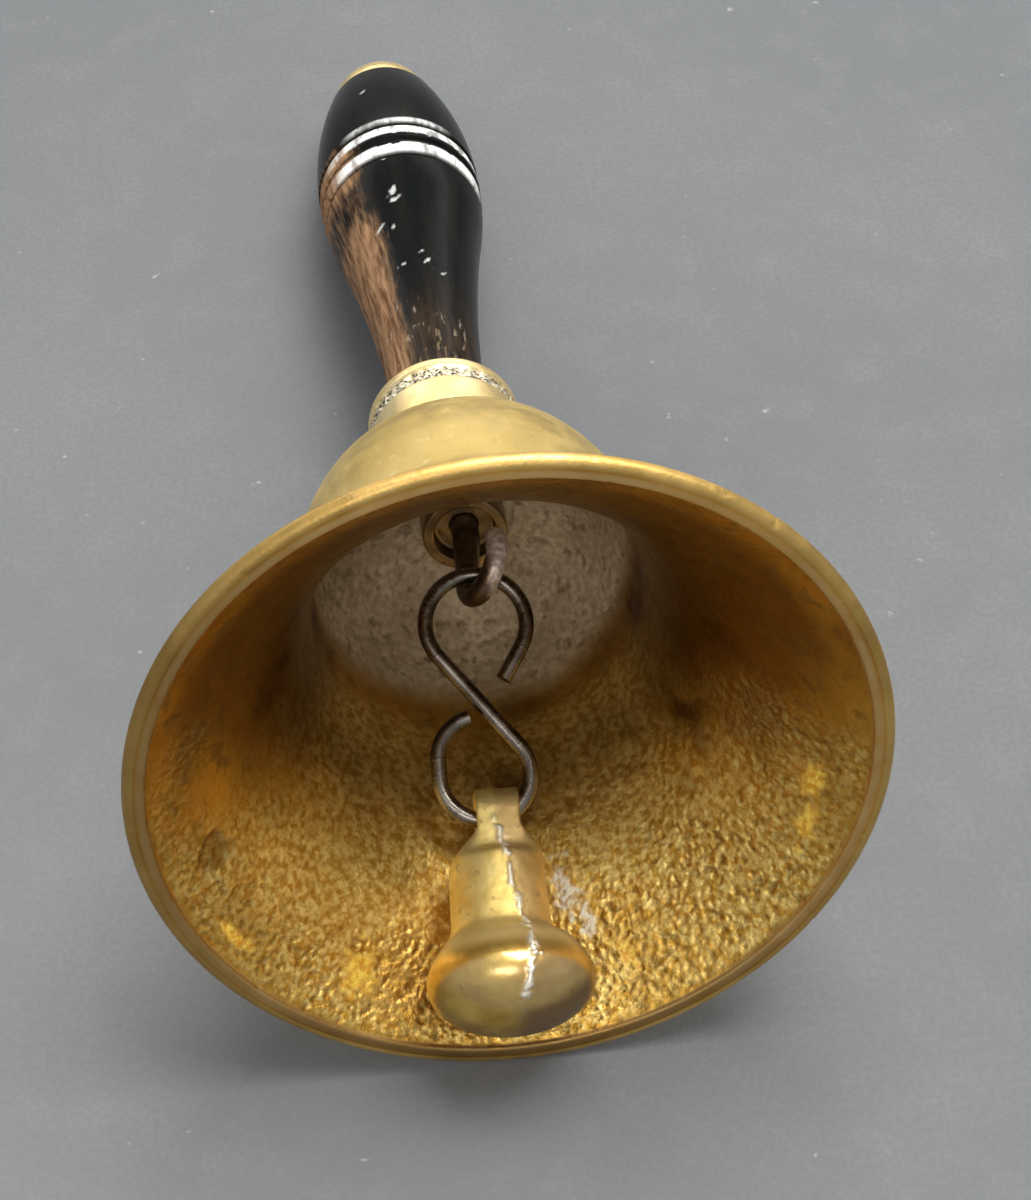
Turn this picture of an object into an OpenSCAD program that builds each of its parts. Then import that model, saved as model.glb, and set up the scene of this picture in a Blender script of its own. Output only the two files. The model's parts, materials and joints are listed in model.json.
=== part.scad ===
// Hand bell with a turned wooden handle, lying on its side.
// Every piece is drawn upright first: the mouth is at z = 0, the handle points along +Z, and +Y is
// the side that ends up facing the table. lay_down() then turns it until the lip and the handle
// both touch the table, with the mouth towards -Y and the handle towards +Y.

/* [Bell] */
// Diameter across the lip's bead
mouth_d = 100; // [98:0.5:102]
// Height of the outside of the crown above the mouth
crown_h = 71.2; // [70:0.2:73]
// Wall thickness at the lip, measured in the mouth plane
lip_w = 3; // [2.6:0.1:3.4]
// Diameter of the waist, outside
waist_d = 53.6; // [52:0.2:55]

/* [Handle] */
// Diameter of the handle at its belly
belly_d = 28; // [27:0.2:29]
// Diameter of the handle's neck
neck_d = 14.4; // [13.6:0.2:15.2]
// Height of the belly above the mouth
belly_h = 162.2; // [160:0.2:164]
// Height of the handle's end above the mouth
grip_end_h = 192.2; // [191.4:0.2:193]
// Distance from one turned groove to the next
bead_pitch = 5; // [4.5:0.1:5.5]

/* [Brass fittings] */
// Diameter of the ferrule between bell and handle
ferrule_d = 23.2; // [22.4:0.2:24]
// Length of the ferrule
ferrule_l = 16.5; // [16:0.1:17]
// Diameter of the domed nut at the handle's end
finial_d = 18; // [17.4:0.2:18.2]

/* [Clapper] */
// Diameter of the clapper's head
head_d = 23.2; // [22:0.2:23.6]
// Distance from the clapper's hole to the middle of its head
clapper_l = 23.6; // [23:0.1:23.8]
// Diameter of the hook wire
wire_d = 2.2; // [2:0.1:2.3]
// Distance between the hook's two bearing points, centre to centre of the wire
hook_l = 35; // [34.4:0.2:35.4]
// Diameter of the rod that ends in the clapper's eye
rod_d = 4; // [3.8:0.1:4.2]

/* [Hidden] */
$fn = 96;

curve_steps = 14;
clearance = 0.05;

// Lip and bead
bead_r = 1.2;
bead_z = bead_r;
bead_mid_r = mouth_d / 2 - bead_r;
lip_in_r = mouth_d / 2 - lip_w;
lip_round = 0.5;

// Inside of the crown, where the clapper's rod comes through
boss_r = 7.6;
boss_z = 61.3;
crown_in_z = 64;
waist_z = 37;
waist_wall = 2.8;

// Handle outline: a convex belly arc that runs into a concave neck arc
belly_arc_r = 110;
belly_mid_r = belly_d / 2 - belly_arc_r;
neck_z = 85.2;
neck_rise = belly_h - neck_z;
neck_drop = belly_d / 2 - neck_d / 2;
neck_arc_r = (neck_rise * neck_rise / neck_drop + neck_drop) / 2 - belly_arc_r;
neck_mid_r = neck_d / 2 + neck_arc_r;
arc_join = belly_arc_r / (belly_arc_r + neck_arc_r);
join_z = belly_h - neck_rise * arc_join;
grip_round = 1.2;
bead_top_z = belly_h - 0.9;
bead_rows = 2;
groove_r = 0.55;

// Ferrule
ferrule_top_z = crown_h + ferrule_l;
ferrule_lip = 2.7;
ferrule_groove = 2.6;
ferrule_groove_depth = 0.45;
socket_r = 8.5;
tenon_z = crown_h + 6;

// Finial nut
dome_h = 9;
dome_edge = 2;
dome_r = (finial_d * finial_d / 4 + dome_h * dome_h) / (2 * dome_h);
sleeve_r = 4.5;
sleeve_l = 8;

// Nut, washer and collar on the rod
nut_flats = 8;
nut_h = 4;
washer_h = 1.2;
collar_r = 6.2;
collar_z = 56.9;
cup_r = 4.45;
cup_depth = 2.4;

// The eye at the rod's lower end
eye_turn = 30;
eye_wire_r = 1.6;
eye_r = 4.4;
eye_z = 45.8;
eye_offset = 2.3;
shank_bend_z = collar_z - 1;
tip_l = 1.5;

// Rest attitude: the lip's bead and the handle's belly touch one plane, each on a small worn flat
worn_flat = 0.12;
span_z = belly_h - bead_z;
span_r = bead_mid_r - belly_mid_r;
tilt = atan2(span_r, span_z) + asin((bead_r - belly_arc_r) / norm([span_z, span_r]));
mouth_centre_z = bead_z * sin(tilt) + bead_mid_r * cos(tilt) + bead_r - worn_flat;

// Hanging chain: slopes below the horizontal, a small lean to one side, and the offset of the
// hook's wire from the middle of the eye
hook_slope = 28.1;
clapper_slope = 17.4;
chain_lean = 2;
pivot_x = 0.6;
wire_drop = 1.05;

// S-hook: an upper and a lower loop joined by their inner tangent
loop_up_r = 7.1;
loop_low_r = 6.35;
loop_up_x = -0.95;
loop_low_x = -1.2;
loop_up_y = -loop_up_r;
loop_low_y = -hook_l + loop_low_r;
loop_span = [loop_low_x - loop_up_x, loop_low_y - loop_up_y];
loop_axis = atan2(loop_span[1], loop_span[0]);
cross_angle = asin((loop_up_r + loop_low_r) / norm(loop_span));
cross_l = norm(loop_span) * cos(cross_angle);
leave_up = loop_axis - 90 + cross_angle;
up_end = -32;
up_tail = 5.2;
low_rise = 2.4;
low_tail_turn = 78;
low_tail_r = 5.95;

// Clapper
eye_out_r = 4;
hole_r = 1.8;
hole_sink_r = 3;
hole_sink_l = 2;
hole_rise = 0.35;
tab_w = 6;
stem_top_r = 6.6;
stem_low_r = 7.2;
stem_shift = -0.7;
head_half_l = 7;
shoulder_z = -2.6;

// Both pivots of the chain, measured along Y from the middle of the mouth
function laid(v) = [v[0], v[2] * cos(tilt) - v[1] * sin(tilt),
                    mouth_centre_z - v[2] * sin(tilt) - v[1] * cos(tilt)];
function along(slope) = [-sin(chain_lean), -cos(chain_lean) * cos(slope), -cos(chain_lean) * sin(slope)];
eye_mid = laid([eye_offset * sin(eye_turn), -eye_offset * cos(eye_turn), eye_z]);
wire_mid = eye_mid + wire_drop * along(hook_slope);
hook_at = [pivot_x, wire_mid[1], wire_mid[2]];
clapper_at = hook_at + hook_l * along(hook_slope);
head_at = clapper_at + (clapper_l - hole_rise) * along(clapper_slope);

// The clapper's head stands furthest forward and the finial furthest back: their middle is y = 0
head_share = pow(along(clapper_slope)[1], 2);
front_y = head_at[1] - sqrt(pow(head_half_l, 2) * head_share + pow(head_d / 2, 2) * (1 - head_share));
dome_mid_z = grip_end_h + dome_edge + dome_h - dome_r;
back_y = dome_mid_z * cos(tilt) + dome_r;
mouth_centre_y = -(front_y + back_y) / 2;
hook_pivot = hook_at + [0, mouth_centre_y, 0];
clapper_pivot = clapper_at + [0, mouth_centre_y, 0];

function bezier(p, t) =
    pow(1 - t, 3) * p[0] + 3 * t * pow(1 - t, 2) * p[1] + 3 * t * t * (1 - t) * p[2] + pow(t, 3) * p[3];
function curve(p) = [for (i = [0 : curve_steps]) bezier(p, i / curve_steps)];
function arc(mid, r, from, to, steps = 8) =
    [for (i = [0 : steps]) mid + r * [cos(from + (to - from) * i / steps), sin(from + (to - from) * i / steps)]];
function belly_r(z) = belly_mid_r + sqrt(pow(belly_arc_r, 2) - pow(z - belly_h, 2));
function neck_r(z) = neck_mid_r - sqrt(pow(neck_arc_r, 2) - pow(z - neck_z, 2));
function grip_r(z) = z > join_z ? belly_r(z) : neck_r(z);

module lay_down()
    translate([0, mouth_centre_y, mouth_centre_z]) rotate([-90 - tilt, 0, 0]) children();

// Takes off what would stand below the table, which leaves the worn flats
module worn_on_table() difference() {
    children();
    translate([-mouth_d / 2, -1.5 * mouth_d, -1]) cube([mouth_d, 3 * mouth_d, 1]);
}

// A cylinder along Z from one height to another
module rod(r, low, high)
    translate([0, 0, low]) cylinder(r = r, h = high - low);

// Cast bell: a flared sound bow, a straight waist, a round shoulder and a thick crown
module bell_shell() color("darkgoldenrod") worn_on_table() lay_down() {
    outer_flare = [[2 * bead_z, bead_mid_r + 0.6], [9.6, 42.4], [21.5, 30], [waist_z, waist_d / 2]];
    outer_shoulder = [[waist_z, waist_d / 2], [49, 25.4], [60.5, 25.2], [crown_h, ferrule_d / 2 + 0.3]];
    inner_crown = [[crown_in_z, boss_r], [62.5, 22.6], [47, 22.9], [waist_z, waist_d / 2 - waist_wall]];
    inner_flare = [[waist_z, waist_d / 2 - waist_wall], [20, 27.1], [8, 39.8], [lip_round, lip_in_r]];
    profile = concat(
        arc([bead_z, bead_mid_r], bead_r, 180, 60, 8),
        curve(outer_flare), curve(outer_shoulder),
        [[crown_h, rod_d / 2 + clearance], [boss_z, rod_d / 2 + clearance], [boss_z, boss_r]],
        curve(inner_crown), curve(inner_flare),
        arc([lip_round, lip_in_r + lip_round], lip_round, 225, 180, 3));
    rotate_extrude() polygon([for (p = profile) [p[1], p[0]]]);
}

// Cup-shaped brass collar, screwed up the rod against the inside of the crown
module cup_collar() color("goldenrod") lay_down() difference() {
    union() {
        rod(collar_r, collar_z + 0.5, boss_z);
        translate([0, 0, collar_z]) cylinder(r1 = collar_r - 0.5, r2 = collar_r, h = 0.5);
    }
    rod(cup_r, collar_z - 1, collar_z + cup_depth);
    rod(rod_d / 2, collar_z, boss_z + 1);
}

// Long rod: threaded under the finial nut, bent into the clapper's eye inside the bell
module clapper_rod() color("peru") lay_down() {
    shank_x = eye_offset - eye_r;
    shank_drop = shank_bend_z - eye_z;
    union() {
        rod(rod_d / 2, shank_bend_z, grip_end_h + dome_edge + 1);
        rotate([0, 0, eye_turn - 90]) {
            translate([0, 0, shank_bend_z]) sphere(r = rod_d / 2 + 0.02);
            translate([shank_x, 0, eye_z]) rotate([0, atan2(-shank_x, shank_drop), 0])
                cylinder(r1 = eye_wire_r, r2 = rod_d / 2, h = norm([shank_x, shank_drop]));
            translate([shank_x, 0, eye_z]) sphere(r = eye_wire_r + 0.02);
            translate([eye_offset, 0, eye_z]) rotate([90, 0, 0])
                rotate([0, 0, 180]) rotate_extrude(angle = 180) translate([eye_r, 0]) circle(r = eye_wire_r);
            translate([eye_offset + eye_r, 0, eye_z]) cylinder(r = eye_wire_r, h = tip_l);
            translate([eye_offset + eye_r, 0, eye_z + tip_l]) sphere(r = eye_wire_r - 0.02);
        }
    }
}

module crown_washer() color("dimgray") lay_down() difference() {
    rod(6.5, crown_h, crown_h + washer_h);
    rod(rod_d / 2 + clearance, crown_h - 1, crown_h + washer_h + 1);
}

module crown_nut() color("gray") lay_down() difference() {
    translate([0, 0, crown_h + washer_h]) cylinder(d = nut_flats / cos(30), h = nut_h, $fn = 6);
    rod(rod_d / 2, crown_h, crown_h + washer_h + nut_h + 1);
}

// Turned ferrule: a wide plain band, a rough groove and a rounded lip
module ferrule() color("gold") lay_down() {
    r = ferrule_d / 2;
    lip_z = ferrule_top_z - ferrule_lip;
    band_z = lip_z - ferrule_groove;
    profile = concat(
        [[socket_r, crown_h], [r - 0.3, crown_h], [r, crown_h + 0.4], [r, band_z - 0.3],
         [r - ferrule_groove_depth, band_z], [r - ferrule_groove_depth, lip_z], [r, lip_z + 0.3]],
        arc([r - 0.9, ferrule_top_z - 0.9], 0.9, 0, 90, 5),
        [[socket_r, ferrule_top_z]]);
    rotate_extrude() polygon(profile);
}

// Turned wooden handle, with a tenon in the ferrule and two beads between three grooves
module handle_grip() color([0.12, 0.1, 0.09]) worn_on_table() lay_down() difference() {
    flare_z = ferrule_top_z + 5;
    low_groove_z = bead_top_z - bead_rows * bead_pitch;
    outline = concat(
        [[0, tenon_z], [socket_r - clearance, tenon_z], [socket_r - clearance, ferrule_top_z],
         [socket_r + 0.9, ferrule_top_z], [socket_r + 0.5, ferrule_top_z + 1.4],
         [grip_r(flare_z) + 0.25, flare_z - 1.6]],
        [for (i = [0 : 20]) let (z = flare_z + (low_groove_z - flare_z) * i / 20) [grip_r(z), z]],
        [for (i = [1 : 12]) let (z = low_groove_z + (grip_end_h - grip_round - low_groove_z) * i / 12)
            [grip_r(z), z]],
        [[grip_r(grip_end_h) - grip_round, grip_end_h], [0, grip_end_h]]);
    rotate_extrude() polygon(outline);
    for (row = [0 : bead_rows]) let (z = bead_top_z - row * bead_pitch)
        translate([0, 0, z]) rotate_extrude() translate([grip_r(z) + 0.1, 0])
            polygon([[0.6, -groove_r - 0.5], [0.6, groove_r + 0.5], [-0.9, 0.15], [-0.9, -0.15]]);
    rod(rod_d / 2 + 0.4, tenon_z - 1, grip_end_h + 1);
    rod(sleeve_r + 0.1, grip_end_h - sleeve_l - 0.2, grip_end_h + 1);
}

// Domed end nut with a threaded sleeve that reaches into the handle
module finial_nut() color("gold") lay_down() difference() {
    union() {
        rod(sleeve_r, grip_end_h - sleeve_l, grip_end_h + 0.5);
        rod(finial_d / 2, grip_end_h, grip_end_h + dome_edge);
        intersection() {
            translate([0, 0, dome_mid_z]) sphere(r = dome_r, $fn = 128);
            rod(finial_d, grip_end_h + dome_edge, grip_end_h + dome_edge + dome_h + 1);
        }
    }
    rod(rod_d / 2, grip_end_h - sleeve_l - 1, grip_end_h + dome_edge + 1);
}

// Local frame of a hanging piece: its pivot at the origin, -Z down its length, X across it
module hang(pivot, slope)
    translate(pivot) rotate([slope - 90, 0, 0]) rotate([0, chain_lean, 0]) children();

// A wire arc in the XZ plane, from one angle to another, counter-clockwise
module wire_arc(x, z, r, from, to)
    translate([x, 0, z]) rotate([90, 0, 0]) mirror([0, 0, 1]) rotate([0, 0, from])
        rotate_extrude(angle = to - from) translate([r, 0]) circle(d = wire_d, $fn = 32);

// A straight length of wire in the XZ plane, with a rounded joint where it starts
module wire_line(p, angle, l) {
    translate([p[0], 0, p[1]]) rotate([0, 90 - angle, 0]) cylinder(d = wire_d, h = l, $fn = 32);
    wire_joint(p);
}
module wire_joint(p)
    translate([p[0], 0, p[1]]) sphere(d = wire_d + 0.04, $fn = 32);

// Steel S-hook
module s_hook() color("dimgray") hang(hook_pivot, hook_slope) {
    up_mid = [loop_up_x, loop_up_y];
    low_mid = [loop_low_x, loop_low_y];
    up_leave = up_mid + loop_up_r * [cos(leave_up), sin(leave_up)];
    up_tail_start = up_mid + loop_up_r * [cos(up_end), sin(up_end)];
    low_side = low_mid - [loop_low_r, 0];
    union() {
        wire_arc(up_mid[0], up_mid[1], loop_up_r, up_end, leave_up + 360);
        wire_line(up_tail_start, up_end - 90, up_tail);
        wire_line(up_leave, leave_up + 90, cross_l);
        wire_joint(up_leave + cross_l * [cos(leave_up + 90), sin(leave_up + 90)]);
        wire_arc(low_mid[0], low_mid[1], loop_low_r, -180, leave_up + 180);
        wire_line(low_side, 90, low_rise);
        wire_joint(low_side + [0, low_rise]);
        wire_arc(low_side[0] + low_tail_r, low_side[1] + low_rise, low_tail_r, 180 - low_tail_turn, 180);
    }
}

// Cast clapper: a round stem, flattened into a drilled tab at the top, and a bun-shaped head
module clapper() color("darkgoldenrod") hang(clapper_pivot, clapper_slope) translate([0, 0, hole_rise]) difference() {
    head = [for (i = [0 : 24]) [head_d / 2 * sin(7.5 * i), -clapper_l - head_half_l * cos(7.5 * i)]];
    tab_top = shoulder_z - 4;
    union() {
        rotate_extrude() polygon(head);
        translate([stem_shift, 0, -clapper_l])
            cylinder(r1 = stem_low_r, r2 = stem_top_r, h = clapper_l + tab_top);
        intersection() {
            translate([stem_shift, 0, 0]) rod(stem_top_r, tab_top - 0.2, eye_out_r + 1);
            union() {
                rotate([0, 90, 0]) cylinder(r = eye_out_r, h = 4 * tab_w, center = true);
                translate([0, 0, -10]) cube([4 * tab_w, 2 * eye_out_r, 20], center = true);
                translate([0, 0, tab_top]) cube([4 * tab_w, 4 * tab_w, 1], center = true);
            }
        }
    }
    for (side = [0, 1]) mirror([side, 0, 0]) rotate([90, 0, 0]) linear_extrude(4 * tab_w, center = true)
        polygon([[tab_w / 2, shoulder_z], [tab_w / 2, 10], [20, 10], [20, shoulder_z - 20 + tab_w / 2]]);
    rotate([0, 90, 0]) cylinder(r = hole_r, h = 40, center = true);
    for (side = [0, 1]) mirror([side, 0, 0]) translate([tab_w / 2 - hole_sink_l, 0, 0]) rotate([0, 90, 0])
        cylinder(r1 = hole_r, r2 = hole_sink_r, h = hole_sink_l);
}

bell_shell();
cup_collar();
clapper_rod();
crown_washer();
crown_nut();
ferrule();
handle_grip();
finial_nut();
s_hook();
clapper();
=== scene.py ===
"""Looks of the hand bell: fine meshes for the cast and turned pieces, materials, floor, lights and camera.

The bell's own frame has the mouth at z = 0 and the handle along +Z, and +Y is the side that faces the table.
Lathe-turned pieces are built in it, in millimetres, and LAY puts their points where the CAD has them.
"""
import json
import math

import bpy
import numpy as np
from mathutils import Matrix, Vector


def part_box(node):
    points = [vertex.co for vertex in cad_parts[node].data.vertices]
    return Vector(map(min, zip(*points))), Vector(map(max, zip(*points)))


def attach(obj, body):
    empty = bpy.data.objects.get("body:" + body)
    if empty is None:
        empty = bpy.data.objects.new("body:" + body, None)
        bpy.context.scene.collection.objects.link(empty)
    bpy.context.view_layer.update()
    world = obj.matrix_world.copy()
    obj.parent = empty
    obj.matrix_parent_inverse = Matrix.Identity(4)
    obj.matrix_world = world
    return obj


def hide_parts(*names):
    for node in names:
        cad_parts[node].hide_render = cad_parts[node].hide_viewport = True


MM = 0.001
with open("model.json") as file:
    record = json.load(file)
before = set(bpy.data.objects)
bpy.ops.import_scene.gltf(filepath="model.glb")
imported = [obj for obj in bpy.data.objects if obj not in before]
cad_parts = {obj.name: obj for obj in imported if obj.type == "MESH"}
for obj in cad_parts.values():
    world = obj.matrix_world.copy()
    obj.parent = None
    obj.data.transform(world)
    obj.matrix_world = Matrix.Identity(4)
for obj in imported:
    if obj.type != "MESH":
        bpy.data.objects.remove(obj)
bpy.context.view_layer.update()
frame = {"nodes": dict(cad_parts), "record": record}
nodes = frame["nodes"]
behaviour = frame["record"]["behaviour"]

# The rim mount lies in the mouth's plane, and its axis is the bell's axis
rim = frame["record"]["mounts"][0]
tilt = math.atan2(rim["axis"][2], -rim["axis"][1])
mouth_centre = Vector((0, rim["pos_m"][1], rim["pos_m"][2]))
LAY = Matrix.Translation(mouth_centre) @ Matrix.Rotation(-math.pi / 2 - tilt, 4, "X")
pivots = {joint["name"]: Vector(joint["pos_m"]) for joint in behaviour["joints"]}

# ---------------------------------------------------------------- camera
# Place and direction in the bell's frame, in millimetres: X, towards the table, along the axis
CAMERA_PLACE = (-29.09, -231.98, -273.69)
VIEW_AZIMUTH = math.radians(7.514)
VIEW_ELEVATION = math.radians(48.049)
VIEW_ROLL = math.radians(-0.308)


def make_camera():
    data = bpy.data.cameras.new("camera")
    data.sensor_width = 36
    data.lens = 84
    data.clip_start = 0.01
    camera = bpy.data.objects.new("camera", data)
    bpy.context.collection.objects.link(camera)
    turn = Matrix.Rotation(-VIEW_AZIMUTH, 4, "Z") @ Matrix.Rotation(math.pi / 2 - VIEW_ELEVATION, 4, "X")
    place = LAY @ (Vector(CAMERA_PLACE) * MM)
    camera.matrix_world = Matrix.Translation(place) @ turn @ Matrix.Rotation(-VIEW_ROLL, 4, "Z")
    bpy.context.scene.camera = camera


# ---------------------------------------------------------------- numbers and meshes
def lattice_noise(points, size, seed):
    """Smooth noise from -1 to 1 at each point: random values on a lattice of the given size, blended."""
    place = np.asarray(points) / size + 31.7 * seed
    cell = np.floor(place).astype(np.int64)
    part = place - cell
    part = part * part * (3 - 2 * part)
    total = np.zeros(len(place))
    for corner in np.ndindex(2, 2, 2):
        c = cell + corner
        code = (c[:, 0] * 73856093) ^ (c[:, 1] * 19349663) ^ (c[:, 2] * 83492791) ^ (seed * 50331653)
        code = (code & 0xFFFFFFFF) * 2654435761 & 0xFFFFFFFF
        code = (code ^ (code >> 15)) * 2246822519 & 0xFFFFFFFF
        value = ((code ^ (code >> 13)) & 0xFFFF) / 32767.5 - 1
        total += value * np.prod(np.where(corner, part, 1 - part), axis=1)
    return total


def layered_noise(points, size, seed, layers=3):
    return sum(lattice_noise(points, size / 2 ** i, seed + i) / 2 ** i for i in range(layers)) / 1.75


def step(low, high, value):
    t = np.clip((value - low) / (high - low), 0, 1)
    return t * t * (3 - 2 * t)


def bezier(p, count=60):
    t = np.linspace(0, 1, count)[:, None]
    p = np.array(p, float)
    return (1 - t) ** 3 * p[0] + 3 * t * (1 - t) ** 2 * p[1] + 3 * t * t * (1 - t) * p[2] + t ** 3 * p[3]


def arc(middle, radius, start, end, count=9):
    turn = np.radians(np.linspace(start, end, count))
    return np.array(middle) + radius * np.stack([np.cos(turn), np.sin(turn)], axis=1)


def spaced(outline, gap):
    """The same outline with a point at about every gap millimetres, corners kept."""
    out = [outline[0]]
    for a, b in zip(outline[:-1], outline[1:]):
        count = max(1, int(round(np.linalg.norm(b - a) / gap)))
        out += [a + (b - a) * i / count for i in range(1, count + 1)]
    return np.array(out)


def even(outline, gap):
    """The outline with evenly spaced points, for smooth curves."""
    length = np.concatenate([[0], np.cumsum(np.linalg.norm(np.diff(outline, axis=0), axis=1))])
    at = np.linspace(0, length[-1], max(2, int(round(length[-1] / gap)) + 1))
    return np.stack([np.interp(at, length, outline[:, i]) for i in range(2)], axis=1)


def new_mesh(name, vertices, faces, attributes):
    mesh = bpy.data.meshes.new(name)
    mesh.from_pydata(vertices.tolist(), [], faces)
    mesh.validate()
    mesh.shade_smooth()
    for key, values in attributes.items():
        mesh.attributes.new(key, "FLOAT", "POINT").data.foreach_set("value", np.asarray(values, np.float32))
    piece = bpy.data.objects.new(name, mesh)
    bpy.context.collection.objects.link(piece)
    return piece


def lathe(name, node, outline, segments, relief, closed=True):
    """Turns an outline of (radius, height) about the bell's axis. relief(points, radius, height, index) gives
    how far each point moves outwards along its normal, and the mesh's attributes. An open outline's ends are
    closed by small flat faces. The piece stays in the CAD node's box, which also gives it the worn flat that
    it rests on."""
    outline = np.asarray(outline, float)
    rings = len(outline)
    before, after = np.roll(outline, 1, axis=0), np.roll(outline, -1, axis=0)
    if not closed:
        before[0], after[-1] = outline[0], outline[-1]
    along = after - before
    along /= np.linalg.norm(along, axis=1)[:, None] + 1e-12
    normal = np.stack([along[:, 1], -along[:, 0]], axis=1)
    turn = np.linspace(0, 2 * np.pi, segments, endpoint=False)
    spoke = np.stack([np.cos(turn), np.sin(turn)], axis=1)
    radius = np.repeat(outline[:, 0], segments)
    height = np.repeat(outline[:, 1], segments)
    ray = np.tile(spoke, (rings, 1))
    points = np.column_stack([ray * radius[:, None], height])
    moved, attributes = relief(points, radius, height, np.repeat(np.arange(rings), segments))
    reach = radius + moved * np.repeat(normal[:, 0], segments)
    points = np.column_stack([ray * reach[:, None], height + moved * np.repeat(normal[:, 1], segments)])
    faces = []
    for i in range(rings if closed else rings - 1):
        low, high = i * segments, (i + 1) % rings * segments
        for j in range(segments):
            beside = (j + 1) % segments
            faces.append((low + j, low + beside, high + beside, high + j))
    if not closed:
        faces.append(tuple(range((rings - 1) * segments, rings * segments)))
        faces.append(tuple(reversed(range(segments))))
    laid = points * MM @ np.array(LAY.to_3x3()).T + np.array(LAY.translation)
    return new_mesh(name, np.clip(laid, *[np.array(v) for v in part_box(node)]), faces, attributes)



def apply_modifiers(piece):
    view = bpy.context.evaluated_depsgraph_get()
    result = piece.evaluated_get(view)
    mesh = bpy.data.meshes.new_from_object(result, preserve_all_data_layers=True, depsgraph=view)
    piece.modifiers.clear()
    piece.data = mesh
    mesh.materials.clear()


def vectors(mesh, key):
    values = np.empty(len(mesh.vertices) * 3)
    mesh.vertices.foreach_get(key, values)
    return values.reshape(-1, 3)


# Smoothing rounds where a casting's edges are softest
SOFT_ROUNDS = 170


def reworked(node, name, voxel, rounds, local, relief, soft=None):
    """A copy of a CAD node as one fine even mesh, its edges rounded, then moved by relief in its local frame.
    soft(points) gives from 0 to 1 how much more each point's surroundings are rounded."""
    piece = bpy.data.objects.new(name, nodes[node].data.copy())
    bpy.context.collection.objects.link(piece)
    remesh = piece.modifiers.new("remesh", "REMESH")
    remesh.mode, remesh.voxel_size = "VOXEL", voxel * MM
    apply_modifiers(piece)
    back = np.array(local.inverted())
    smooth = piece.modifiers.new("smooth", "SMOOTH")
    smooth.iterations, smooth.factor = rounds, 0.5
    if soft:
        share = soft((vectors(piece.data, "co") @ back[:3, :3].T + back[:3, 3]) / MM)
        group = piece.vertex_groups.new(name="soft")
        for level in range(1, 5):
            group.add(np.nonzero(np.round(share * 4) == level)[0].tolist(), level / 4, "REPLACE")
        more = piece.modifiers.new("more", "SMOOTH")
        more.iterations, more.factor, more.vertex_group = SOFT_ROUNDS, 0.5, "soft"
    apply_modifiers(piece)
    mesh = piece.data
    points, normals = vectors(mesh, "co"), vectors(mesh, "normal")
    inner = (points @ back[:3, :3].T + back[:3, 3]) / MM
    moved, attributes = relief(inner, normals @ back[:3, :3].T)
    low, high = [np.array(v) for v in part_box(node)]
    mesh.vertices.foreach_set("co", np.clip(points + normals * moved[:, None] * MM, low, high).ravel())
    for key, values in attributes.items():
        mesh.attributes.new(key, "FLOAT", "POINT").data.foreach_set("value", np.asarray(values, np.float32))
    mesh.shade_smooth()
    mesh.update()
    return piece


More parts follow.
